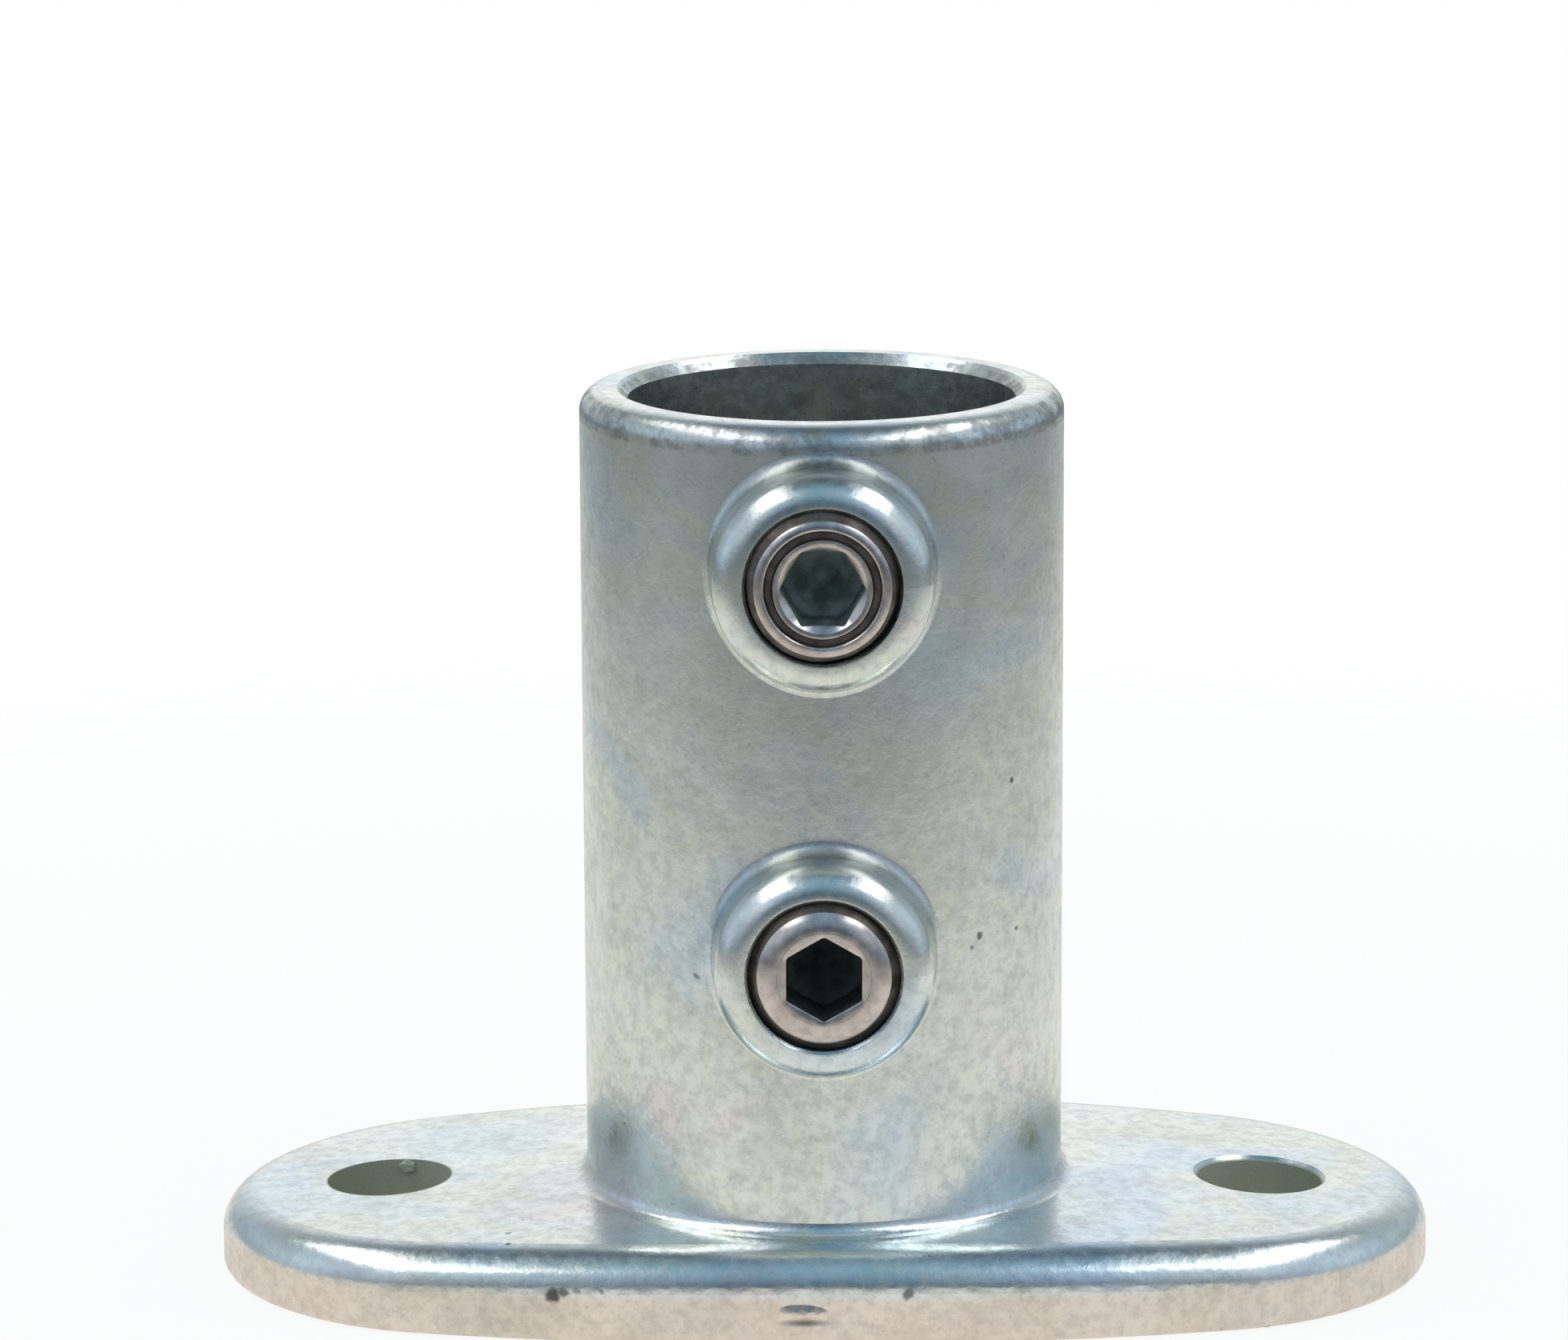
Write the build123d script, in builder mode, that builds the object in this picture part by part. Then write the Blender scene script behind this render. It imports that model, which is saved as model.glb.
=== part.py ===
from build123d import *
import math
import os

# Tube clamp base flange for a 42.4 mm tube: an iron casting with a zinc coat, and two set screws.
# The origin is the middle of the two fixing holes on the underside. +Z runs up the tube,
# the plate's long way is X, and the set screws face -Y. All sizes are in millimetres.

# Tube socket
tube_diameter = 42.4
tube_clearance = 0.5  # on the radius, so that a coated tube slides in
socket_wall = 5.4
socket_height = 101.5
rim_radius = 2.6
rim_chamfer = 1.2
foot_fillet = 1.5

# Ledge inside the foot that stops the tube, and the drain hole through it
ledge_height = 5.0
ledge_width = 3.7
drain_chamfer = 0.8

# Oval plate with bowed sides. The top falls away from the socket all round.
plate_length = 137.8
plate_width = 67.6
plate_side_bow = 4.2  # how far a bowed side stands out past the radius of the end arcs
plate_thickness = 9.7  # at the fixing holes
plate_top_slope = 2.9  # degrees
plate_edge_radius = 4.5
plate_base_radius = 1.5

# Fixing holes
fixing_spacing = 99.7
fixing_diameter = 14.2
fixing_chamfer = 0.5

# Bosses for the set screws
boss_diameter = 23.8
boss_height = 7.0  # from the front of the socket to the boss face
boss_draft = 3.0  # degrees
boss_edge_radius = 3.2
boss_root_fillet = 1.4
screw_spacing = 43.1
upper_screw_drop = 16.2  # from the rim down to the upper screw

# Set screws: 3/8 inch pipe thread, hexagon socket, cup point
screw_diameter = 16.66
thread_clearance = 0.05  # on the radius, between the plain bore and the plain screw
screw_bore_chamfer = 0.3
screw_proud = 0.8  # from the boss face out to the drive face
tip_gap = 0.3  # from the cup point to the wall of the tube bore
screw_chamfer = 1.2
point_chamfer = 1.8
cup_diameter = 8.8
cup_angle = 118.0
key_size = 8.0
key_clearance = 0.05
key_depth = 6.0
key_drill_angle = 118.0
upper_key_turn = 0.0  # flats above and below
lower_key_turn = 30.0  # corners above and below
lower_key_chamfer = 0.2

# The upper screw has a countersunk socket, with a lip and a turned groove round it
upper_countersink = 0.4
lip_width = 0.3
groove_width = 0.9
groove_floor = 0.3  # width at its floor
groove_depth = 0.5

# Sizes that follow from those above
bore_radius = tube_diameter / 2 + tube_clearance
socket_radius = bore_radius + socket_wall
drain_radius = bore_radius - ledge_width
upper_screw_height = socket_height - upper_screw_drop
lower_screw_height = upper_screw_height - screw_spacing
boss_radius = boss_diameter / 2
boss_face = socket_radius + boss_height
screw_radius = screw_diameter / 2
drive_face = boss_face + screw_proud
screw_length = drive_face - bore_radius - tip_gap
key_width = key_size + 2 * key_clearance
key_corner_radius = key_width / math.sqrt(3)
key_cone_depth = key_width / 2 / math.tan(math.radians(key_drill_angle / 2))
mouth_radius = key_corner_radius + upper_countersink
groove_middle = mouth_radius + lip_width + groove_width / 2
cup_depth = cup_diameter / 2 / math.tan(math.radians(cup_angle / 2))

# Plate outline: two end arcs, joined by two side arcs that touch them smoothly
half_length = plate_length / 2
half_width = plate_width / 2
end_radius = half_width - plate_side_bow
end_centre = half_length - end_radius
side_radius = (end_centre**2 + half_width**2 - end_radius**2) / (2 * plate_side_bow)
joint_angle = math.atan2(side_radius - half_width, end_centre)
joint_x = end_centre + end_radius * math.cos(joint_angle)
joint_y = end_radius * math.sin(joint_angle)

# The plate's top is a shallow cone that starts inside the socket wall
slope_fall = math.tan(math.radians(plate_top_slope))
slope_top = plate_thickness + (fixing_spacing / 2 - bore_radius) * slope_fall
slope_end = slope_top - (plate_length - bore_radius) * slope_fall

with BuildPart() as flange_casting:
    # Plate
    with BuildSketch():
        with BuildLine():
            ThreePointArc((joint_x, joint_y), (0, half_width), (-joint_x, joint_y))
            ThreePointArc((-joint_x, joint_y), (-half_length, 0), (-joint_x, -joint_y))
            ThreePointArc((-joint_x, -joint_y), (0, -half_width), (joint_x, -joint_y))
            ThreePointArc((joint_x, -joint_y), (half_length, 0), (joint_x, joint_y))
        make_face()
    extrude(amount=slope_top)
    with BuildSketch(Plane.YZ):
        with BuildLine():
            Polyline(
                (bore_radius, slope_top),
                (plate_length, slope_end),
                (plate_length, slope_top),
                close=True,
            )
        make_face()
    revolve(axis=Axis.Z, mode=Mode.SUBTRACT)
    fillet(faces().filter_by(GeomType.CONE)[0].outer_wire().edges(), plate_edge_radius)
    fillet(faces().sort_by(Axis.Z)[0].outer_wire().edges(), plate_base_radius)

    # Socket barrel, with the fillet round its foot
    with BuildSketch():
        Circle(socket_radius)
    extrude(amount=socket_height)
    fillet(edges(Select.NEW).group_by(Axis.Z)[-1], foot_fillet)

    # Screw bosses, blended into the barrel
    with BuildSketch(Plane.XZ.offset(boss_face)):
        with Locations((0, upper_screw_height), (0, lower_screw_height)):
            Circle(boss_radius)
    extrude(amount=-boss_face, taper=-boss_draft)
    fillet(edges(Select.NEW), boss_root_fillet)
    fillet(faces().filter_by(Axis.Y).edges(), boss_edge_radius)

    # Rim, tube bore down to the ledge, and the drain hole
    fillet(faces().sort_by(Axis.Z)[-1].edges(), rim_radius)
    with BuildSketch(Plane.XY.offset(ledge_height)):
        Circle(bore_radius)
    extrude(amount=socket_height, mode=Mode.SUBTRACT)
    chamfer(faces().sort_by(Axis.Z)[-1].inner_wires()[0].edges(), rim_chamfer)
    with BuildSketch():
        Circle(drain_radius)
    extrude(amount=ledge_height, mode=Mode.SUBTRACT)
    chamfer(faces().sort_by(Axis.Z)[0].inner_wires()[0].edges(), drain_chamfer)

    # Fixing holes, with their upper edges broken
    with BuildSketch():
        with GridLocations(fixing_spacing, 0, 2, 1):
            Circle(fixing_diameter / 2)
    extrude(amount=slope_top, mode=Mode.SUBTRACT)
    chamfer(edges(Select.NEW).group_by(Axis.Z)[-1], fixing_chamfer)

    # Screw bores through the bosses into the tube bore
    with BuildSketch(Plane.XZ.offset(boss_face)):
        with Locations((0, upper_screw_height), (0, lower_screw_height)):
            Circle(screw_radius + thread_clearance)
    extrude(amount=-boss_face, mode=Mode.SUBTRACT)
    bore_mouths = [face.inner_wires()[0].edge() for face in faces().filter_by(Axis.Y)]
    chamfer(bore_mouths, screw_bore_chamfer)

# Plain turned body of both screws: drive face at the origin, cup point towards +Y
with BuildPart() as screw_blank:
    with BuildSketch(Plane.YZ):
        Rectangle(screw_length, screw_radius, align=(Align.MIN, Align.MIN))
    revolve(axis=Axis.Y)
    chamfer(faces().sort_by(Axis.Y)[0].edges(), screw_chamfer)
    chamfer(faces().sort_by(Axis.Y)[-1].edges(), point_chamfer)
    with BuildSketch(Plane.YZ):
        with BuildLine():
            Polyline(
                (screw_length, 0),
                (screw_length, cup_diameter / 2),
                (screw_length - cup_depth, 0),
                close=True,
            )
        make_face()
    revolve(axis=Axis.Y, mode=Mode.SUBTRACT)
    # Drilled seat of the hexagon socket, which leaves a cone at the bottom
    with BuildSketch(Plane.YZ):
        with BuildLine():
            Polyline(
                (0, 0),
                (0, key_width / 2),
                (key_depth, key_width / 2),
                (key_depth + key_cone_depth, 0),
                close=True,
            )
        make_face()
    revolve(axis=Axis.Y, mode=Mode.SUBTRACT)

with BuildPart() as upper_set_screw:
    with Locations((0, -drive_face, upper_screw_height)):
        add(screw_blank.part)
    with BuildSketch(Plane.XZ.offset(drive_face)):
        with Locations((0, upper_screw_height)):
            RegularPolygon(key_width / 2, 6, major_radius=False, rotation=upper_key_turn)
    extrude(amount=-key_depth, mode=Mode.SUBTRACT)
    # Countersunk mouth of the socket, and the groove round its lip
    with BuildSketch(Plane.YZ.move(Location((0, -drive_face, upper_screw_height)))):
        with BuildLine():
            Polyline((0, 0), (0, mouth_radius), (mouth_radius, 0), close=True)
        make_face()
        with BuildLine():
            Polyline(
                (0, groove_middle - groove_width / 2),
                (0, groove_middle + groove_width / 2),
                (groove_depth, groove_middle + groove_floor / 2),
                (groove_depth, groove_middle - groove_floor / 2),
                close=True,
            )
        make_face()
    revolve(axis=Axis((0, 0, upper_screw_height), (0, 1, 0)), mode=Mode.SUBTRACT)

with BuildPart() as lower_set_screw:
    with Locations((0, -drive_face, lower_screw_height)):
        add(screw_blank.part)
    with BuildSketch(Plane.XZ.offset(drive_face)):
        with Locations((0, lower_screw_height)):
            RegularPolygon(key_width / 2, 6, major_radius=False, rotation=lower_key_turn)
    extrude(amount=-key_depth, mode=Mode.SUBTRACT)
    chamfer(faces().sort_by(Axis.Y)[0].inner_wires()[0].edges(), lower_key_chamfer)

pieces = {
    "flange_casting": flange_casting,
    "upper_set_screw": upper_set_screw,
    "lower_set_screw": lower_set_screw,
}
os.makedirs("parts", exist_ok=True)
for name, piece in pieces.items():
    piece.part.label = name
    export_step(piece.part, f"parts/{name}.step")
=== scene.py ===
# Looks of a tube clamp base flange: a zinc plated iron casting and two steel set screws.
# Lengths in the dictionaries are millimetres and angles are degrees, unless a note says otherwise.
import math

import bmesh
import bpy
from mathutils import Matrix, Vector, noise


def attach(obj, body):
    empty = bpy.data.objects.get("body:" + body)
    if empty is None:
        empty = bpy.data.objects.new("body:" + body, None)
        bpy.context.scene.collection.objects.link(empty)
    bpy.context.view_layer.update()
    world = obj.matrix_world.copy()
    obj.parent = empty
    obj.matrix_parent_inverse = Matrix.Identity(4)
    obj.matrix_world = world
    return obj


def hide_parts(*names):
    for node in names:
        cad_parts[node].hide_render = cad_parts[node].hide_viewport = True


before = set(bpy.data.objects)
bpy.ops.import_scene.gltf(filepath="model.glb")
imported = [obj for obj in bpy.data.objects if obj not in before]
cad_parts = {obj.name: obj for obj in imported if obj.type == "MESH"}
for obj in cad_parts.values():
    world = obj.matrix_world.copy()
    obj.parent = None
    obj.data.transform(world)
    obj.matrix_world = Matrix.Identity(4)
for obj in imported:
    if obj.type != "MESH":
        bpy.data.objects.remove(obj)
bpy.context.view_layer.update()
print("frame loaded:", sorted(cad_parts))

mm = 0.001
scene = bpy.context.scene
scene.view_settings.view_transform = "Standard"


def linearColour(hexText, alpha=1.0):
    # sRGB hex to the linear values that sockets take
    values = [int(hexText[i:i + 2], 16) / 255 for i in (1, 3, 5)]
    return [v / 12.92 if v <= 0.04045 else ((v + 0.055) / 1.055) ** 2.4 for v in values] + [alpha]


def addNode(tree, kind, inputs=None, stops=(), **settings):
    # A node with its settings. A bare kind is a shader node's. An input is a value or the socket that
    # feeds it, and its key is the input's name or its place. Stops are a ramp's, as place and colour.
    node = tree.nodes.new(kind if "Node" in kind else "ShaderNode" + kind)
    for name, value in settings.items():
        setattr(node, name, value)
    for i, (position, hexText) in enumerate(stops):
        elements = node.color_ramp.elements
        stop = elements[i] if i < len(elements) else elements.new(position)
        stop.position = position
        stop.color = linearColour(hexText)
    for name, value in (inputs or {}).items():
        if isinstance(value, bpy.types.NodeSocket):
            tree.links.new(value, node.inputs[name])
        else:
            node.inputs[name].default_value = value
    return node


def newMaterial(name):
    material = bpy.data.materials.new(name)
    material.use_nodes = True
    material.node_tree.nodes.clear()
    return material, material.node_tree


zincCoat = {
    # Tints of the coat along a slow pattern
    "tints": ((0.30, "#E5DFDC"), (0.43, "#DFE5E2"), (0.50, "#E0E4DA"), (0.58, "#DFE5E2"), (0.70, "#D2E0E6")),
    "paperReflectionBeige": "#E4D8C8",  # painted reflection of the warm paper, low on the plate's edge
    "olive": "#A3A58B",  # inside the fixing holes, where the bath drained slowly
    "pitAndShadeColour": "#45463E",
    # Size, detail, roughness and distortion of each pattern
    "patterns": {
        "grain": (0.7, 3.0, 0.6, 0.0),  # sand grain, drawn a little coarse so that it shows
        "mottle": (1.6, 4.0, 0.65, 0.0),
        "patch": (9.0, 3.0, 0.6, 0.4),
        "wave": (6.0, 1.5, 0.55, 0.0),
        "tint": (22.0, 2.0, 0.5, 0.6),
        # the patches of the painted shade round the rim
        "rimShadeBreakup": (2.6, 4.0, 0.75, 0.0),
    },
    "bumps": {"grain": 0.014, "mottle": 0.022, "wave": 0.06},  # how high each pattern stands
    # Each effect from where to where along what it follows, and its share at either end
    "fades": {
        # the painted reflection of the paper, low on the plate's edge
        "lowEdgeReflection": (4.8, 6.2, 0.75, 0.0),
        "mottleShade": (0.30, 0.62, 0.87, 1.0),
        "patchShade": (0.32, 0.60, 0.89, 1.0),
        "grainShade": (0.28, 0.48, 0.88, 1.0),
        "hole": (7.12, 7.37, 0.85, 0.0),
        # the painted shadow under the gate scar: its edge, and how far forward it shows
        "scarShadow": (0.35, 1.15, 0.92, 0.0),
        "scarShadowFront": (-32.0, -31.0, 1.0, 0.0),
        # how far forward the painted shade over the bosses' roots reaches, and how it is broken up
        "rootShadeFront": (-22.0, -18.0, 1.0, 0.0),
        "rootShadeStreak": (0.35, 0.60, 0.6, 1.0),
        # the painted shade round the rim's rounding: its band's lower and upper edge, and its patches
        "rimBottom": (98.0, 98.5, 0.0, 1.0),
        "rimTop": (101.0, 101.3, 1.0, 0.0),
        "rimShade": (0.42, 0.62, 0.12, 0.55),
        "rough": (0.35, 0.65, 0.30, 0.20),
    },
    "holePlace": 49.85,
    "pitSpacing": 7.0,
    "pitless": 0.82,  # the share of the pattern's cells without a pit
    "pitSize": 0.07,  # of the largest pit, and its soft edge, in parts of the spacing
    "pitEdge": 0.03,
    "pitDepth": 0.8,
    "markAndShadeRoughness": 0.25,
    # Bare spots and bits of scale: middle, radius and depth of colour
    "marks": (
        ((17.2, -20.9, 43.4), 0.55, 0.8), ((16.4, -21.6, 42.2), 0.35, 0.6), ((21.4, -16.7, 43.2), 0.35, 0.7),
        ((-14.1, -23.2, 39.5), 0.4, 0.6), ((-35.3, -20.8, 9.4), 0.6, 0.7), ((-34.0, 3.4, 9.6), 0.8, 0.3),
        ((-29.9, -31.7, 5.6), 1.0, 0.85), ((-28.8, -31.8, 5.9), 0.7, 0.7), ((-27.2, -32.0, 6.1), 0.5, 0.5),
        ((-24.6, -32.3, 6.2), 0.4, 0.5), ((9.1, -33.6, 6.3), 0.8, 0.7), ((-35.2, -23.2, 10.0), 0.5, 0.6),
    ),
    "markEdge": (0.45, 1.2),  # where a spot starts and ends to fade, in parts of its radius
    "tearing": 1.1,  # how far the edges of the spots are torn, and how often in a metre
    "tearings": 900.0,
    "scarShadowMiddle": (-2.3, 0.0, 2.95),  # a painted shadow: a dark line under the gate scar's lip
    "scarShadowSize": (3.7, 60.0, 0.62),
    "bossHeights": (85.3, 42.2),
    "rootShadeRadii": (10.9, 12.4, 14.2),  # painted shade lies on top of each boss's root, between these radii
    "rootShadeReach": (3.0, 12.5),  # and grows over these heights above the boss's middle
    "rootShadeDepth": 0.55,
}


def makeZincCoat(name, look):
    # Zinc plated grey iron, sand-cast under the coat: satin bright, faintly tinted, softly uneven. Its
    # colour also holds painted shade, a painted shadow and a painted reflection.
    material, tree = newMaterial(name)
    place = addNode(tree, "TexCoord").outputs["Object"]
    axes = addNode(tree, "SeparateXYZ", {"Vector": place}).outputs
    pattern = {}
    for kind, (size, detail, roughness, distortion) in look["patterns"].items():
        sizes = {"Scale": 1000 / size, "Detail": detail, "Roughness": roughness, "Distortion": distortion}
        pattern[kind] = addNode(tree, "TexNoise", {"Vector": place, **sizes}).outputs["Fac"]

    # Distance from the nearer fixing hole's axis, and from the painted shadow under the gate scar in parts
    # of its size
    side = addNode(tree, "Math", {0: axes["X"]}, operation="ABSOLUTE").outputs[0]
    aside = addNode(tree, "Math", {0: side, 1: look["holePlace"] * mm}, operation="SUBTRACT").outputs[0]
    across = addNode(tree, "CombineXYZ", {0: aside, 1: axes["Y"]}).outputs[0]
    fromHole = addNode(tree, "VectorMath", {0: across}, operation="LENGTH").outputs["Value"]
    gate = {1: [v * mm for v in look["scarShadowMiddle"]]}
    fromScarShadow = addNode(tree, "VectorMath", {0: place, **gate}, operation="SUBTRACT").outputs[0]
    parts = {1: [v * mm for v in look["scarShadowSize"]]}
    shrunk = addNode(tree, "VectorMath", {0: fromScarShadow, **parts}, operation="DIVIDE").outputs[0]
    scarShadow = addNode(tree, "VectorMath", {0: shrunk}, operation="LENGTH").outputs["Value"]

    follows = {
        "lowEdgeReflection": (axes["Z"], mm), "rimBottom": (axes["Z"], mm), "rimTop": (axes["Z"], mm),
        "scarShadowFront": (axes["Y"], mm), "rootShadeFront": (axes["Y"], mm), "hole": (fromHole, mm),
        "mottleShade": (pattern["mottle"], 1), "rootShadeStreak": (pattern["mottle"], 1),
        "rough": (pattern["mottle"], 1), "patchShade": (pattern["patch"], 1),
        "grainShade": (pattern["grain"], 1), "rimShade": (pattern["rimShadeBreakup"], 1), "scarShadow": (scarShadow, 1),
    }
    share = {}
    for kind, (value, unit) in follows.items():
        low, high, start, end = look["fades"][kind]
        limits = {0: value, 1: low * unit, 2: high * unit, 3: start, 4: end}
        share[kind] = addNode(tree, "MapRange", limits, interpolation_type="SMOOTHSTEP").outputs[0]

    # The coat's colour. A colour mix shares its sockets' names with other kinds, so they go by place.
    ramp = addNode(tree, "ValToRGB", {"Fac": pattern["tint"]}, look["tints"])
    # Painted reflection: low on the plate's edge the coat is tinted beige, for the warm paper it mirrors
    paperReflectionBeige = {0: share["lowEdgeReflection"], 6: ramp.outputs["Color"], 7: linearColour(look["paperReflectionBeige"])}
    edged = addNode(tree, "Mix", paperReflectionBeige, data_type="RGBA").outputs[2]
    shade = share["mottleShade"]
    for kind in ("patchShade", "grainShade"):
        shade = addNode(tree, "Math", {0: shade, 1: share[kind]}, operation="MULTIPLY").outputs[0]
    coloured = addNode(tree, "VectorMath", {0: edged, "Scale": shade}, operation="SCALE").outputs[0]
    olive = {0: share["hole"], 6: coloured, 7: linearColour(look["olive"])}
    holed = addNode(tree, "Mix", olive, data_type="RGBA").outputs[2]

    # Pits: one in a few cells of a cell pattern
    cells = addNode(tree, "TexVoronoi", {"Vector": place, "Scale": 1000 / look["pitSpacing"]}).outputs
    pick = addNode(tree, "SeparateColor", {"Color": cells["Color"]}).outputs["Red"]
    pitSize = addNode(tree, "MapRange", {0: pick, 1: look["pitless"], 4: look["pitSize"]}).outputs[0]
    inside = addNode(tree, "Math", {0: pitSize, 1: cells["Distance"]}, operation="SUBTRACT").outputs[0]
    limits = {0: inside, 2: look["pitEdge"], 4: look["pitDepth"]}
    darks = [addNode(tree, "MapRange", limits, interpolation_type="SMOOTHSTEP").outputs[0]]

    # Larger spots, with torn edges
    tearing = addNode(tree, "TexNoise", {"Vector": place, "Scale": look["tearings"]}).outputs["Color"]
    reach = {"Scale": look["tearing"] * mm}
    torn = addNode(tree, "VectorMath", {0: tearing, **reach}, operation="SCALE").outputs[0]
    moved = addNode(tree, "VectorMath", {0: place, 1: torn}).outputs[0]
    core, edge = look["markEdge"]
    for middle, radius, depth in look["marks"]:
        # The tearing shifts the pattern by half its reach
        centre = [(v + look["tearing"] / 2) * mm for v in middle]
        away = addNode(tree, "VectorMath", {0: moved, 1: centre}, operation="DISTANCE").outputs["Value"]
        limits = {0: away, 1: radius * core * mm, 2: radius * edge * mm, 3: depth, 4: 0.0}
        darks.append(addNode(tree, "MapRange", limits, interpolation_type="SMOOTHSTEP").outputs[0])

    # Painted shade on top of the bosses' roots, towards the front, where the concave roots mirror the dark
    # room
    start, full, end = (radius * mm for radius in look["rootShadeRadii"])
    low, high = (rise * mm for rise in look["rootShadeReach"])
    for height in look["bossHeights"]:
        rise = addNode(tree, "Math", {0: axes["Z"], 1: height * mm}, operation="SUBTRACT").outputs[0]
        spread = addNode(tree, "CombineXYZ", {0: axes["X"], 1: rise}).outputs[0]
        fromAxis = addNode(tree, "VectorMath", {0: spread}, operation="LENGTH").outputs["Value"]
        inner = {0: fromAxis, 1: start, 2: full, 3: 0.0, 4: look["rootShadeDepth"]}
        outer = {0: fromAxis, 1: full, 2: end, 3: 1.0, 4: 0.0}
        upper = {0: rise, 1: low, 2: high, 3: 0.0, 4: 1.0}
        factors = {0: share["rootShadeFront"], 1: share["rootShadeStreak"]}
        for limits in (inner, outer, upper):
            root = addNode(tree, "Math", factors, operation="MULTIPLY").outputs[0]
            fade = addNode(tree, "MapRange", limits, interpolation_type="SMOOTHSTEP").outputs[0]
            factors = {0: root, 1: fade}
        darks.append(addNode(tree, "Math", factors, operation="MULTIPLY").outputs[0])

    # Painted shadow under the gate scar's lip, and painted shade round the rim's rounding that dims its
    # highlight. The darkest of all these marks shows.
    rim = {0: share["rimBottom"], 1: share["rimTop"]}
    band = addNode(tree, "Math", rim, operation="MULTIPLY").outputs[0]
    for factors in ({0: share["scarShadow"], 1: share["scarShadowFront"]}, {0: band, 1: share["rimShade"]}):
        darks.append(addNode(tree, "Math", factors, operation="MULTIPLY").outputs[0])
    dark = darks[0]
    for other in darks[1:]:
        dark = addNode(tree, "Math", {0: dark, 1: other}, operation="MAXIMUM").outputs[0]
    # Pits, spots and the painted shades and shadow all darken towards one colour
    darkened = {0: dark, 6: holed, 7: linearColour(look["pitAndShadeColour"])}
    final = addNode(tree, "Mix", darkened, data_type="RGBA").outputs[2]

    bare = addNode(tree, "Math", {0: 1.0, 1: share["hole"]}, operation="SUBTRACT").outputs[0]
    extra = {0: dark, 1: look["markAndShadeRoughness"], 2: share["rough"]}
    rough = addNode(tree, "Math", extra, operation="MULTIPLY_ADD").outputs[0]
    normal = {}
    for kind, height in look["bumps"].items():
        heights = {"Height": pattern[kind], "Distance": height * mm, "Strength": 1.0, **normal}
        normal = {"Normal": addNode(tree, "Bump", heights).outputs["Normal"]}
    finish = {"Base Color": final, "Metallic": bare, "Roughness": rough, **normal}
    shader = addNode(tree, "BsdfPrincipled", finish).outputs["BSDF"]
    addNode(tree, "OutputMaterial", {"Surface": shader})
    return material


zincMaterial = makeZincCoat("zinc_plated_sand_cast_iron", zincCoat)
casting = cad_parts["flange_casting"]
casting.data.materials.clear()
casting.data.materials.append(zincMaterial)
print("casting dressed")

castMarks = {
    "scarMiddle": (-2.3, -33.75, 4.1),  # where the gate was broken off the plate's edge
    "scarWidth": 5.8,
    "scarHeight": 2.6,
    "scarRise": 0.30,
    "scarCrest": 0.22,  # share of its height below the crest
    "scarFoot": 0.35,  # share of its height below its middle
    "scarRoot": 0.06,  # how deep its border lies in the plate
    "scarThickness": 0.3,
    "beadMiddle": (-48.1, 6.85, 8.95),  # a drop of zinc in the edge of the left fixing hole
    "beadSize": (1.1, 0.7, 0.75),
}


def addCastPiece(name, mesh):
    bmesh.ops.recalc_face_normals(mesh, faces=mesh.faces)
    done = bpy.data.meshes.new(name)
    mesh.to_mesh(done)
    mesh.free()
    done.materials.append(zincMaterial)
    done.shade_smooth()
    piece = bpy.data.objects.new(name, done)
    scene.collection.objects.link(piece)
    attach(piece, "casting")
    return piece


def makeGateScar(sizes, columns=40, rows=24):
    # A low lip: it rises slowly from above and ends in a short steep break below
    middle, wide, high = Vector(sizes["scarMiddle"]), sizes["scarWidth"] / 2, sizes["scarHeight"]
    crest, foot = sizes["scarCrest"], sizes["scarFoot"]
    mesh = bmesh.new()
    front = []
    for i in range(columns + 1):
        u = 2 * i / columns - 1
        bow = math.sqrt(max(0.0, 1 - u * u))
        line = []
        for j in range(rows + 1):
            v = j / rows  # 0 at the bottom, 1 at the top
            rise = v / crest if v < crest else (1 - v) / (1 - crest)
            bulge = sizes["scarRise"] * bow * rise * rise * (3 - 2 * rise)
            uneven = 1 + 0.18 * noise.noise(Vector((u * 3.1, v * 2.3, 4.0)))
            height = (v - foot) * high * (foot + (1 - foot) * bow)
            point = Vector((u * wide, sizes["scarRoot"] - bulge * uneven, height))
            line.append(mesh.verts.new((middle + point) * mm))
        front.append(line)
    deeper = Vector((0, sizes["scarThickness"] * mm, 0))
    back = [[mesh.verts.new(vert.co + deeper) for vert in line] for line in front]
    for i in range(columns):
        for j in range(rows):
            mesh.faces.new((front[i][j], front[i + 1][j], front[i + 1][j + 1], front[i][j + 1]))
            mesh.faces.new((back[i][j], back[i][j + 1], back[i + 1][j + 1], back[i + 1][j]))
    for i in range(columns):
        for j in (0, rows):
            mesh.faces.new((front[i][j], front[i + 1][j], back[i + 1][j], back[i][j]))
    for j in range(rows):
        for i in (0, columns):
            mesh.faces.new((front[i][j], front[i][j + 1], back[i][j + 1], back[i][j]))
    return addCastPiece("gate_scar", mesh)


def makeZincBead(sizes):
    mesh = bmesh.new()
    bmesh.ops.create_icosphere(mesh, subdivisions=4, radius=1.0)
    for vert in mesh.verts:
        swell = 1 + 0.22 * noise.noise(vert.co * 1.3 + Vector((7.0, 0.0, 2.0)))
        reach = Vector([c * s * swell for c, s in zip(vert.co, sizes["beadSize"])])
        vert.co = (Vector(sizes["beadMiddle"]) + reach) * mm
    return addCastPiece("zinc_bead", mesh)


makeGateScar(castMarks)
makeZincBead(castMarks)
print("casting marks made")

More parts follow.
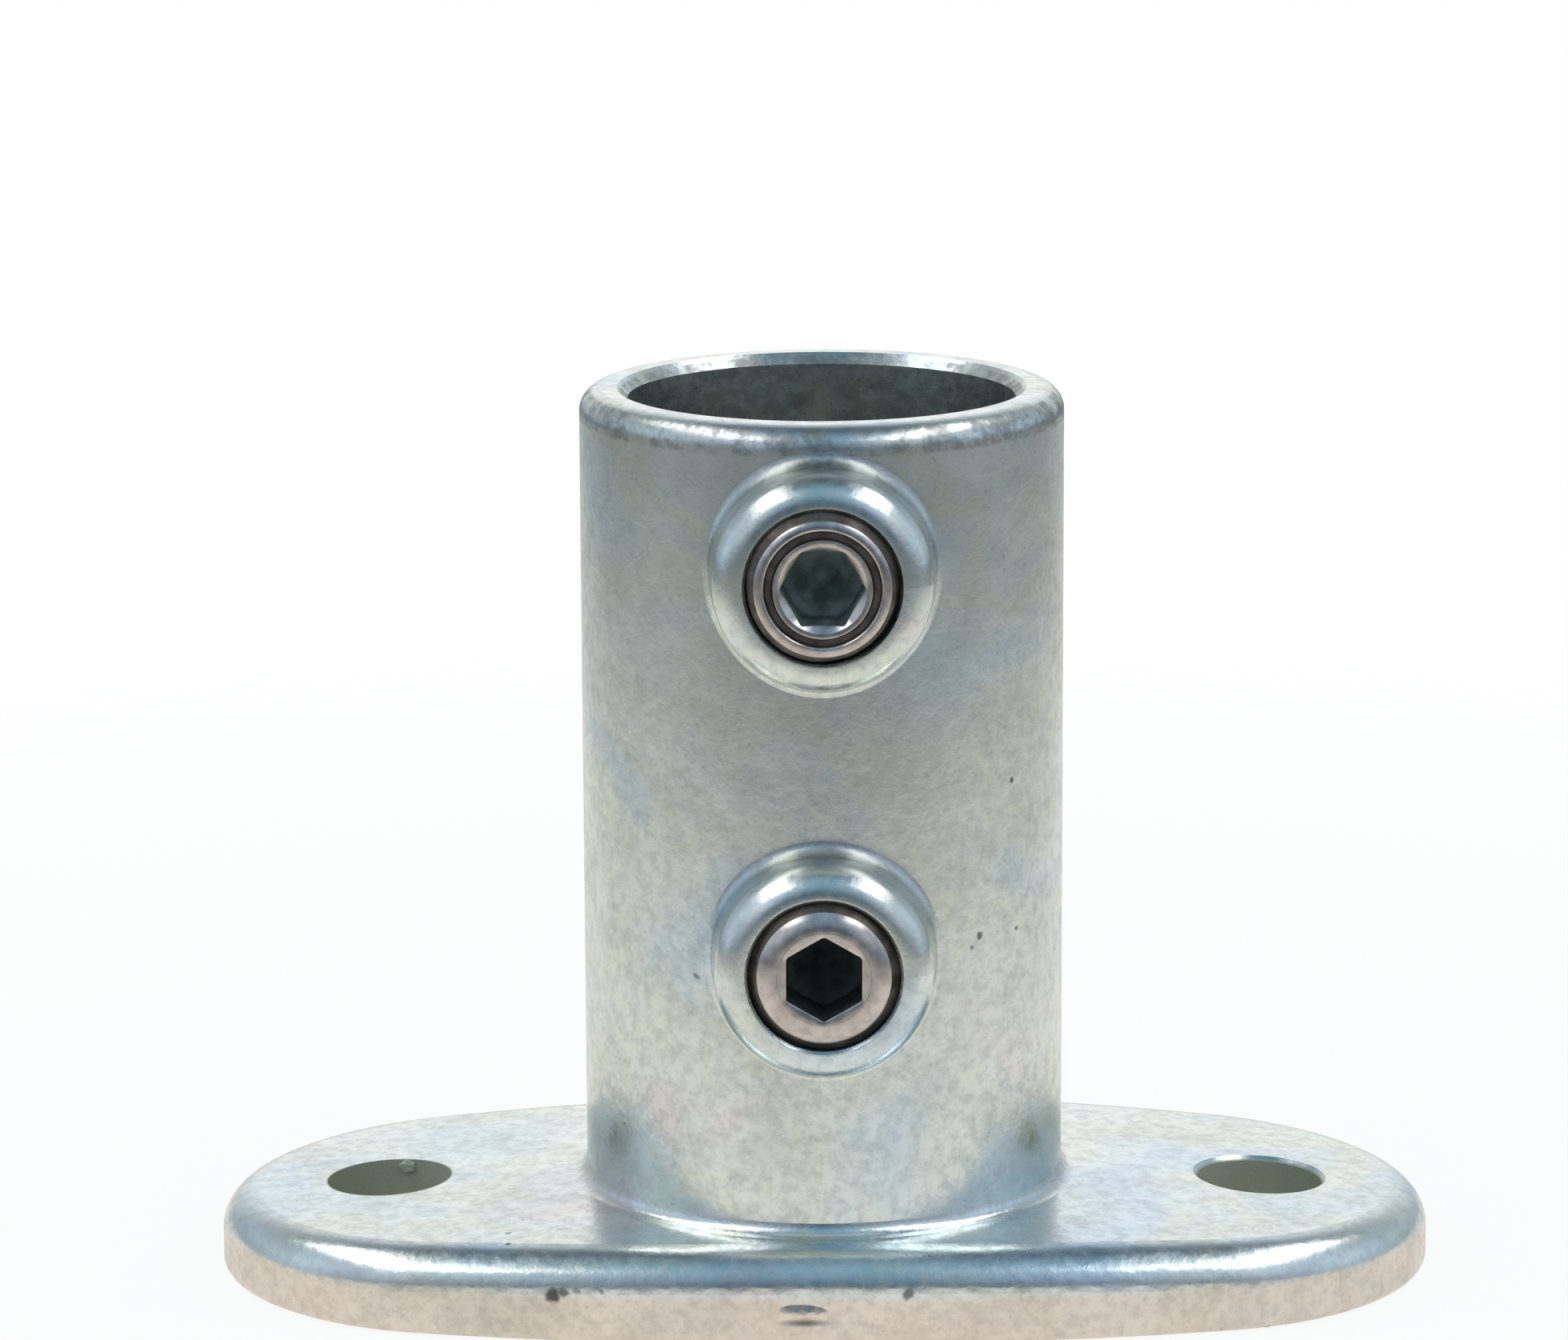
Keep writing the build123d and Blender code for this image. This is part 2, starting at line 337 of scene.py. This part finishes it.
screwSteel = {
    "turned": ("#B5ADA8", "#D2C9C3"),
    "turnSpacing": 0.16,  # feed of the turning tool, drawn coarse so that it shows
    "turnDepth": 0.0015,
    "turnPatch": 1.4,
    "roughness": (0.20, 0.30),
    # Two colours, how metallic and how rough each film leaves the steel
    "oilyShaded": ("#504A44", "#6A625B", 0.8, 0.42),  # threads, groove and the chamfer by the bore: oil and dust, and painted shade that darkens the groove and the gap
    # Painted light and shade in the hex sockets: one steel, painted lighter in the upper screw's socket and
    # nearly black in the lower's
    "socket": {"upper": ("#5C6763", "#838F8B", 0.3, 0.55), "lower": ("#232927", "#3A413E", 0.3, 0.55)},
    "grimePatch": 1.8,
    "grimeHeight": 0.05,
}
setScrew = {
    "majorRadius": 8.33,
    "rootRadius": 7.47,
    "pitch": 1.337,  # 19 threads to the inch
    "length": 12.9,
    "segments": 144,
    "rowHeight": 0.11,
    "keyWidth": 8.1,
    "keyDepth": 6.0,
    "keyCorner": 0.075,  # how much each corner of the hexagon is cut back
    "keySeat": 0.985,  # the cone under the hexagon, as a share of half its width
    "keyCone": 118.0,
    "pointChamfer": 1.8,
    "tipRadius": 0.2,
    "cupRadius": 4.4,
    "cupEdgeRadius": 0.12,
    "cupAngle": 118.0,
    "driveFace": 34.9,  # where it stands in front of the tube's axis
    "upper": {
        "height": 85.3, "turn": 0.0, "chamferDepth": 1.15, "edgeCorner": 7.18, "edgeRadius": 1.4,
        "countersink": 0.14, "sinkEase": 0.06, "lip": 0.58, "lipRadius": 0.16,
        "groove": 1.0, "grooveFloor": 0.6, "grooveDepth": 0.55, "grooveRadius": 0.35,
    },
    "lower": {
        "height": 42.2, "turn": 30.0, "chamferDepth": 1.7, "edgeCorner": 6.4, "edgeRadius": 3.3,
        "mouth": 0.25,
    },
}
finishes = {"turned": 0, "broachedShaded": 1, "oilyShaded": 2}


def makeTurnedSteel(name, look, height):
    # Plain steel, turned on its face: warm grey, fine rings that stretch the highlights across
    material, tree = newMaterial(name)
    place = addNode(tree, "TexCoord").outputs["Object"]
    shift = {"Vector": place, "Location": (0, 0, -height * mm)}
    centred = addNode(tree, "Mapping", shift).outputs["Vector"]
    flat = addNode(tree, "VectorMath", {0: centred, 1: (1, 0, 1)}, operation="MULTIPLY").outputs[0]
    radius = addNode(tree, "VectorMath", {0: flat}, operation="LENGTH").outputs["Value"]
    perMetre = 2 * math.pi * 1000 / look["turnSpacing"]
    turns = addNode(tree, "Math", {0: radius, 1: perMetre}, operation="MULTIPLY").outputs[0]
    rings = addNode(tree, "Math", {0: turns}, operation="SINE").outputs[0]
    sizes = {"Vector": place, "Scale": 1000 / look["turnPatch"], "Detail": 3.0}
    patch = addNode(tree, "TexNoise", sizes).outputs["Fac"]
    darker, lighter = look["turned"]
    stops = ((0.35, darker), (0.65, lighter))
    colour = addNode(tree, "ValToRGB", {"Fac": patch}, stops).outputs["Color"]
    smooth, dull = look["roughness"]
    rough = addNode(tree, "MapRange", {0: patch, 1: 0.3, 2: 0.7, 3: smooth, 4: dull}).outputs["Result"]
    heights = {"Height": rings, "Distance": look["turnDepth"] * mm, "Strength": 0.5}
    bump = addNode(tree, "Bump", heights).outputs["Normal"]
    finish = {"Base Color": colour, "Metallic": 1.0, "Roughness": rough, "Normal": bump}
    shader = addNode(tree, "BsdfPrincipled", finish).outputs["BSDF"]
    addNode(tree, "OutputMaterial", {"Surface": shader})
    return material


def makeGrimyShadedSteel(name, look, film):
    # Steel under a film of oil and dust: dark and blotchy, with hardly a highlight left. Part of that
    # darkness is painted shade, in the groove, the gap round the screw and the hex sockets.
    material, tree = newMaterial(name)
    place = addNode(tree, "TexCoord").outputs["Object"]
    sizes = {"Vector": place, "Scale": 1000 / look["grimePatch"], "Detail": 3.0}
    patch = addNode(tree, "TexNoise", sizes).outputs["Fac"]
    darker, lighter, metallic, rough = film
    stops = ((0.38, darker), (0.62, lighter))
    colour = addNode(tree, "ValToRGB", {"Fac": patch}, stops).outputs["Color"]
    heights = {"Height": patch, "Distance": look["grimeHeight"] * mm, "Strength": 0.5}
    bump = addNode(tree, "Bump", heights).outputs["Normal"]
    finish = {"Base Color": colour, "Metallic": metallic, "Roughness": rough, "Normal": bump}
    shader = addNode(tree, "BsdfPrincipled", finish).outputs["BSDF"]
    addNode(tree, "OutputMaterial", {"Surface": shader})
    return material


def arcPoints(start, corner, end, radius, steps):
    # Points of a rounded corner, from the line start-corner to the line corner-end
    a, c, b = Vector(start), Vector(corner), Vector(end)
    toA, toB = (a - c).normalized(), (b - c).normalized()
    half = toA.angle(toB) / 2
    reach = radius / math.tan(half)
    centre = c + (toA + toB).normalized() * (radius / math.sin(half))
    first, last = c + toA * reach - centre, c + toB * reach - centre
    angle = first.angle(last)
    points = []
    for i in range(steps + 1):
        nearFirst, nearLast = math.sin((1 - i / steps) * angle), math.sin(i / steps * angle)
        points.append(tuple(centre + (first * nearFirst + last * nearLast) / math.sin(angle)))
    return points


def hexagonRadius(angle, turn, width, cornerCut):
    # Distance from the axis to a hexagon whose corners are cut back a little
    local = (angle - math.radians(turn) + math.pi / 6) % (math.pi / 3) - math.pi / 6
    return min(width / 2 / math.cos(local), width / math.sqrt(3) - cornerCut)


def threadTree():
    # Cuts a screw thread into whatever stands outside the root radius
    tree = bpy.data.node_groups.new("threadCutter", "GeometryNodeTree")
    face = tree.interface
    face.new_socket("Geometry", in_out="INPUT", socket_type="NodeSocketGeometry")
    for name in ("Pitch", "Crest Radius", "Root Radius", "Axis Height", "Start"):
        face.new_socket(name, in_out="INPUT", socket_type="NodeSocketFloat")
    face.new_socket("Material", in_out="INPUT", socket_type="NodeSocketMaterial")
    face.new_socket("Geometry", in_out="OUTPUT", socket_type="NodeSocketGeometry")
    source = addNode(tree, "NodeGroupInput").outputs
    crest, root, axis = source["Crest Radius"], source["Root Radius"], source["Axis Height"]

    # Where a point lies: its radius, its angle as part of a turn, and its depth in turns
    position = addNode(tree, "GeometryNodeInputPosition").outputs[0]
    axes = addNode(tree, "SeparateXYZ", {0: position}).outputs
    rise = addNode(tree, "Math", {0: axes[2], 1: axis}, operation="SUBTRACT").outputs[0]
    across = addNode(tree, "CombineXYZ", {0: axes[0], 2: rise}).outputs[0]
    radius = addNode(tree, "VectorMath", {0: across}, operation="LENGTH").outputs["Value"]
    angle = addNode(tree, "Math", {0: axes[0], 1: rise}, operation="ARCTAN2").outputs[0]
    part = addNode(tree, "Math", {0: angle, 1: 2 * math.pi}, operation="DIVIDE").outputs[0]
    along = addNode(tree, "Math", {0: axes[1], 1: source["Start"]}, operation="SUBTRACT").outputs[0]
    turns = addNode(tree, "Math", {0: along, 1: source["Pitch"]}, operation="DIVIDE").outputs[0]
    unwound = addNode(tree, "Math", {0: turns, 1: part}, operation="SUBTRACT").outputs[0]

    # The profile: a flat crest and root with a straight flank between, in parts of a turn
    rootEnd, crestStart = 0.06, 0.44
    phase = addNode(tree, "Math", {0: unwound}, operation="FRACT").outputs[0]
    swing = addNode(tree, "Math", {0: phase, 1: 0.5}, operation="SUBTRACT").outputs[0]
    slope = addNode(tree, "Math", {0: swing}, operation="ABSOLUTE").outputs[0]
    profile = addNode(tree, "MapRange", {0: slope, 1: rootEnd, 2: crestStart}).outputs["Result"]
    depth = addNode(tree, "Math", {0: crest, 1: root}, operation="SUBTRACT").outputs[0]
    cut = addNode(tree, "Math", {0: profile, 1: depth, 2: root}, operation="MULTIPLY_ADD").outputs[0]

    # Points outside it move in towards the axis
    lowest = addNode(tree, "Math", {0: cut, 1: radius}, operation="MINIMUM").outputs[0]
    ratio = addNode(tree, "Math", {0: lowest, 1: radius}, operation="DIVIDE").outputs[0]
    compare = addNode(tree, "FunctionNodeCompare", {0: radius, 1: root}, operation="GREATER_THAN")
    outside = compare.outputs[0]
    newX = addNode(tree, "Math", {0: axes[0], 1: ratio}, operation="MULTIPLY").outputs[0]
    newZ = addNode(tree, "Math", {0: rise, 1: ratio, 2: axis}, operation="MULTIPLY_ADD").outputs[0]
    target = addNode(tree, "CombineXYZ", {0: newX, 1: axes[1], 2: newZ}).outputs[0]
    points = {"Geometry": source["Geometry"], "Selection": outside, "Position": target}
    moved = addNode(tree, "GeometryNodeSetPosition", points).outputs[0]
    real = addNode(tree, "GeometryNodeRealizeInstances", {0: moved}).outputs[0]
    dressing = {"Geometry": real, "Selection": outside, "Material": source["Material"]}
    painted = addNode(tree, "GeometryNodeSetMaterial", dressing).outputs[0]
    addNode(tree, "NodeGroupOutput", {0: painted})
    return tree


def screwRings(sizes, kind):
    # Rings from the bottom of the socket round to the cup. Each is a function of the angle that gives
    # radius and depth, with the finish of the strip that leads to it.
    own, rings = sizes[kind], []
    width, keyDepth = sizes["keyWidth"], sizes["keyDepth"]

    def addRings(finish, shape):
        rings.append((shape, finishes[finish]))

    def addPoints(finish, points):
        for point in points:
            addRings(finish, lambda angle, fixed=tuple(point): fixed)

    def hexagon(angle):
        return hexagonRadius(angle, own["turn"], width, sizes["keyCorner"])

    # The socket: a drilled cone at the bottom, then the six flats
    seat = width / 2 * sizes["keySeat"]
    coneDepth = seat / math.tan(math.radians(sizes["keyCone"] / 2))
    quarters = (0.25, 0.5, 0.75, 1.0)
    addPoints("broachedShaded", [(seat * part, keyDepth + coneDepth * (1 - part)) for part in quarters])
    for part in reversed(quarters):
        addRings("broachedShaded", lambda a, depth=keyDepth * part: (hexagon(a), depth))
    corner = width / math.sqrt(3)
    if kind == "upper":
        # A countersink, a lip, and a groove round it
        mouth = corner + own["countersink"]
        grooveIn = mouth + own["lip"]
        grooveOut = grooveIn + own["groove"]
        middle, halfFloor, deep = (grooveIn + grooveOut) / 2, own["grooveFloor"] / 2, own["grooveDepth"]
        floorIn, floorOut = (middle - halfFloor, deep), (middle + halfFloor, deep)
        addRings("broachedShaded", lambda a: (hexagon(a), mouth - hexagon(a)))
        addPoints("turned", [(mouth - own["sinkEase"], own["sinkEase"]), (mouth + 0.04, 0.0)])
        addPoints("turned", arcPoints((mouth, 0), (grooveIn, 0), floorIn, own["lipRadius"], 4)[:3])
        # The groove's floor takes the dark film: painted shade in the recess
        addPoints("oilyShaded", [floorIn, floorOut])
        rim = arcPoints(floorOut, (grooveOut, 0), (grooveOut + 1, 0), own["grooveRadius"], 5)
        addPoints("oilyShaded", rim[:1])
        addPoints("turned", rim[1:])
    else:
        # A small bevel round the socket's mouth
        soft = own["mouth"]
        addRings("broachedShaded", lambda a: (hexagon(a), soft))
        addRings("turned", lambda a: (hexagon(a) + soft * 0.35, soft * 0.3))
        addRings("turned", lambda a: (hexagon(a) + soft, 0.0))
        addPoints("turned", [(corner + soft * 2, 0.0)])

    # Rounded drive edge, then the chamfer where the thread starts
    major, length, chamfer = sizes["majorRadius"], sizes["length"], own["chamferDepth"]
    edge = arcPoints((0, 0), (own["edgeCorner"], 0), (major, chamfer), own["edgeRadius"], 12)
    addPoints("turned", edge)
    start, outer = Vector(edge[-1]), Vector((major, chamfer))
    # The chamfer by the bore takes the dark film: painted shade in the gap round the screw
    addPoints("oilyShaded", [start.lerp(outer, part) for part in (0.15, 0.4, 0.7)])
    point = sizes["pointChamfer"]
    threaded = length - point - chamfer
    rows = round(threaded / sizes["rowHeight"])
    addPoints("oilyShaded", [(major, chamfer + threaded * i / rows) for i in range(rows + 1)])
    parts = [i / 13 for i in range(1, 13)]
    addPoints("oilyShaded", [(major - point * part, length - point * (1 - part)) for part in parts])

    # The cup point
    tip, cup = major - point, sizes["cupRadius"]
    cupDepth = cup / math.tan(math.radians(sizes["cupAngle"] / 2))
    bottom = length - cupDepth
    shoulder = (major, length - point)
    addPoints("turned", arcPoints(shoulder, (tip, length), (cup, length), sizes["tipRadius"], 3))
    addPoints("turned", arcPoints((tip, length), (cup, length), (0, bottom), sizes["cupEdgeRadius"], 3))
    addPoints("turned", [(cup / 2, length - cupDepth / 2)])
    return rings, keyDepth + coneDepth, bottom


def makeScrew(kind, sizes, materials, cutter):
    height, drive, count = sizes[kind]["height"], -sizes["driveFace"], sizes["segments"]
    rings, bottom, cup = screwRings(sizes, kind)

    def place(radius, depth, angle):
        return Vector((radius * math.sin(angle), drive + depth, height + radius * math.cos(angle))) * mm

    mesh = bmesh.new()
    angles = [2 * math.pi * i / count for i in range(count)]
    rows = [[mesh.verts.new(place(*ring(angle), angle)) for angle in angles] for ring, finish in rings]
    for k, (row, following) in enumerate(zip(rows, rows[1:])):
        for i in range(count):
            j = (i + 1) % count
            strip = mesh.faces.new((row[i], row[j], following[j], following[i]))
            strip.material_index = rings[k + 1][1]
    for row, depth, finish in ((rows[0], bottom, "broachedShaded"), (rows[-1], cup, "turned")):
        pole = mesh.verts.new(place(0, depth, 0))
        for i in range(count):
            mesh.faces.new((row[i], row[(i + 1) % count], pole)).material_index = finishes[finish]
    bmesh.ops.recalc_face_normals(mesh, faces=mesh.faces)
    name = kind + "_screw_threaded"
    blank = bpy.data.meshes.new(kind + "_blank")
    mesh.to_mesh(blank)
    mesh.free()
    for material in materials:
        blank.materials.append(material)
    piece = bpy.data.objects.new(name, blank)
    scene.collection.objects.link(piece)

    cut = piece.modifiers.new("thread", "NODES")
    cut.node_group = cutter
    values = {
        "Pitch": sizes["pitch"] * mm, "Crest Radius": sizes["majorRadius"] * mm,
        "Root Radius": sizes["rootRadius"] * mm, "Axis Height": height * mm, "Start": drive * mm,
        "Material": materials[finishes["oilyShaded"]],
    }
    for item in cutter.interface.items_tree:
        if item.in_out == "INPUT" and item.name in values:
            cut[item.identifier] = values[item.name]
    bpy.context.view_layer.update()
    graph = bpy.context.evaluated_depsgraph_get()
    done = bpy.data.meshes.new_from_object(piece.evaluated_get(graph))
    piece.modifiers.clear()
    piece.data = done
    done.name = name
    done.shade_smooth()
    done.set_sharp_from_angle(angle=math.radians(32))
    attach(piece, kind + "_screw")
    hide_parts(kind + "_set_screw")
    print(kind, "screw:", len(done.polygons), "faces")
    return piece


cutter = threadTree()
oilyShadedSteel = makeGrimyShadedSteel("oily_shaded_threaded_steel", screwSteel, screwSteel["oilyShaded"])
for kind in ("upper", "lower"):
    turned = makeTurnedSteel("turned_steel_" + kind, screwSteel, setScrew[kind]["height"])
    broachedShaded = makeGrimyShadedSteel("broached_steel_shaded_" + kind, screwSteel, screwSteel["socket"][kind])
    makeScrew(kind, setScrew, (turned, broachedShaded, oilyShadedSteel), cutter)

studio = {
    "paper": "#F4F3F0",
    "paperReach": 3000.0,
    "paperDepth": 0.1,  # how far the paper lies below the flange
    # How bright the paper glows for the metal's reflections, by distance in metres: a painted glow,
    # brightest round the object
    "paperGlow": (
        (0.10, "#F7F4EF"), (0.17, "#EFEDE8"), (0.25, "#DAD9D4"), (0.34, "#B9BAB8"), (0.50, "#8A8E8E"),
        (0.90, "#6B7072"),
    ),
    "paperFront": 1.5,  # the glow ends sooner in front and later behind
    "paperBehind": 0.5,
    "paperMirrored": 0.88,
    "shadow": (80.0, 400.0, 0.90, 1.0),  # from where to where the camera's white takes over
    "air": "#33495A",
    # Large soft lights and bright walls: azimuth from the right (behind is 90), elevation, sharpness,
    # colour and strength. Each stands on both sides.
    "walls": (
        (-54, 26, 14, "#D3D6E0", 0.85),
        (-5, 18, 7, "#BFCDDC", 1.15),
        (36, 14, 14, "#B9CDD8", 0.45),
        (90, 14, 6, "#FFFDFA", 1.08),
        (-90, 62, 9, "#86B2CB", 0.60),
        (-90, 32, 10, "#2F97C9", 0.26),
        (90, 46, 22, "#2F8FC0", 0.28),
    ),
    "stripRadiance": 2.7,
    "stripSize": (560.0, 1600.0),
    "stripPlace": (800.0, -300.0, 1100.0),  # each strip's middle, mirrored for the left one
}


def makePaper(name, look):
    # Matt paper sweep: the camera meets white, the object still leaves its soft shadow
    material, tree = newMaterial(name)
    place = addNode(tree, "TexCoord").outputs["Object"]
    axes = addNode(tree, "SeparateXYZ", {"Vector": place}).outputs
    ahead = addNode(tree, "Math", {0: axes["Y"], 1: 0.0}, operation="MINIMUM").outputs[0]
    behind = addNode(tree, "Math", {0: axes["Y"], 1: 0.0}, operation="MAXIMUM").outputs[0]
    aheadFar = addNode(tree, "Math", {0: ahead, 1: look["paperFront"]}, operation="MULTIPLY").outputs[0]
    further = {0: behind, 1: look["paperBehind"], 2: aheadFar}
    far = addNode(tree, "Math", further, operation="MULTIPLY_ADD").outputs[0]
    stretched = addNode(tree, "CombineXYZ", {0: axes["X"], 1: far}).outputs[0]
    reach = addNode(tree, "VectorMath", {0: stretched}, operation="LENGTH").outputs["Value"]
    glow = addNode(tree, "ValToRGB", {"Fac": reach}, look["paperGlow"]).outputs["Color"]
    lit = addNode(tree, "BsdfDiffuse", {"Color": linearColour(look["paper"])}).outputs[0]
    white = addNode(tree, "Emission", {"Color": linearColour("#FFFFFF"), "Strength": 1.0}).outputs[0]
    mirrored = addNode(tree, "Emission", {"Color": glow, "Strength": 1.0}).outputs[0]

    # Glossy rays meet the glow, camera rays meet white, and more so away from the object
    ray = addNode(tree, "LightPath").outputs
    distance = addNode(tree, "VectorMath", {0: place}, operation="LENGTH").outputs["Value"]
    near, away, least, most = look["shadow"]
    limits = {0: distance, 1: near * mm, 2: away * mm, 3: least, 4: most}
    clear = addNode(tree, "MapRange", limits, interpolation_type="SMOOTHSTEP").outputs["Result"]
    seen = addNode(tree, "Math", {0: ray["Is Camera Ray"], 1: clear}, operation="MULTIPLY").outputs[0]
    glossy = {0: ray["Is Glossy Ray"], 1: look["paperMirrored"]}
    shareMirrored = addNode(tree, "Math", glossy, operation="MULTIPLY").outputs[0]
    first = addNode(tree, "MixShader", {0: shareMirrored, 1: lit, 2: mirrored}).outputs[0]
    mixed = addNode(tree, "MixShader", {0: seen, 1: first, 2: white}).outputs[0]
    addNode(tree, "OutputMaterial", {"Surface": mixed})
    return material


def makeFloor(look):
    paper = bpy.data.meshes.new("paper_floor")
    reach, below = look["paperReach"] * mm, -look["paperDepth"] * mm
    corners = [(x * reach, y * reach, below) for x, y in ((-1, -1), (1, -1), (1, 1), (-1, 1))]
    paper.from_pydata(corners, [], [(0, 1, 2, 3)])
    paper.materials.append(makePaper("matt_paper", look))
    floor = bpy.data.objects.new("paper_floor", paper)
    scene.collection.objects.link(floor)


def makeWorld(look):
    # A dim room with large soft lights on both sides, and white behind for the camera
    world = bpy.data.worlds.new("studio")
    world.use_nodes = True
    tree = world.node_tree
    tree.nodes.clear()
    ray = addNode(tree, "TexCoord").outputs["Generated"]
    axes = addNode(tree, "SeparateXYZ", {"Vector": ray}).outputs
    side = addNode(tree, "Math", {0: axes["X"]}, operation="ABSOLUTE").outputs[0]
    folded = addNode(tree, "CombineXYZ", {0: side, 1: axes["Y"], 2: axes["Z"]}).outputs[0]
    total = linearColour(look["air"])[:3]
    for azimuth, elevation, sharpness, colour, strength in look["walls"]:
        a, e = math.radians(azimuth), math.radians(elevation)
        middle = (math.cos(e) * math.cos(a), math.cos(e) * math.sin(a), math.sin(e))
        near = addNode(tree, "VectorMath", {0: folded, 1: middle}, operation="DOT_PRODUCT").outputs["Value"]
        slope = {0: near, 1: sharpness, 2: -sharpness}
        fall = addNode(tree, "Math", slope, operation="MULTIPLY_ADD").outputs[0]
        share = addNode(tree, "Math", {0: fall}, operation="EXPONENT").outputs[0]
        tinted = [c * strength for c in linearColour(colour)[:3]]
        light = {0: share, 1: tinted, 2: total}
        total = addNode(tree, "VectorMath", light, operation="MULTIPLY_ADD").outputs[0]
    seen = addNode(tree, "LightPath").outputs["Is Camera Ray"]
    white = {0: seen, 6: total, 7: linearColour("#FFFFFF")}
    mixed = addNode(tree, "Mix", white, data_type="RGBA").outputs[2]
    background = addNode(tree, "Background", {"Color": mixed, "Strength": 1.0}).outputs[0]
    addNode(tree, "OutputWorld", {"Surface": background})
    scene.world = world


def addStrip(name, side, look):
    # One of two long soft lights overhead, left and right of the middle
    lamp = bpy.data.lights.new(name, "AREA")
    lamp.shape = "RECTANGLE"
    lamp.size, lamp.size_y = (length * mm for length in look["stripSize"])
    lamp.energy = look["stripRadiance"] * math.pi * lamp.size * lamp.size_y
    strip = bpy.data.objects.new(name, lamp)
    aside, along, height = look["stripPlace"]
    strip.location = Vector((side * aside, along, height)) * mm
    strip.visible_camera = False
    scene.collection.objects.link(strip)


makeFloor(studio)
makeWorld(studio)
addStrip("strip_left", -1, studio)
addStrip("strip_right", 1, studio)
print("studio lit")

cameraPlace = {
    "position": (-1.266, -714.492, 224.051),
    "azimuth": 0.246,
    "elevation": 12.243,
    "roll": -0.2765,
    "lens": 148.93,
    "sensor": 36.0,
    "nearest": 10.0,
    "furthest": 20000.0,
}


def addCamera(look):
    a, e, roll = (math.radians(look[key]) for key in ("azimuth", "elevation", "roll"))
    back = Vector((math.sin(a) * math.cos(e), -math.cos(a) * math.cos(e), math.sin(e)))
    right = (-back).cross(Vector((0, 0, 1))).normalized()
    up = right.cross(-back)
    sideways = right * math.cos(roll) + up * math.sin(roll)
    upwards = up * math.cos(roll) - right * math.sin(roll)
    camera = bpy.data.objects.new("camera", bpy.data.cameras.new("camera"))
    camera.data.lens, camera.data.sensor_width = look["lens"], look["sensor"]
    camera.data.clip_start, camera.data.clip_end = look["nearest"] * mm, look["furthest"] * mm
    turned = Matrix((sideways, upwards, back)).transposed().to_4x4()
    camera.matrix_world = Matrix.Translation(Vector(look["position"]) * mm) @ turned
    scene.collection.objects.link(camera)
    scene.camera = camera


addCamera(cameraPlace)
print("camera placed")
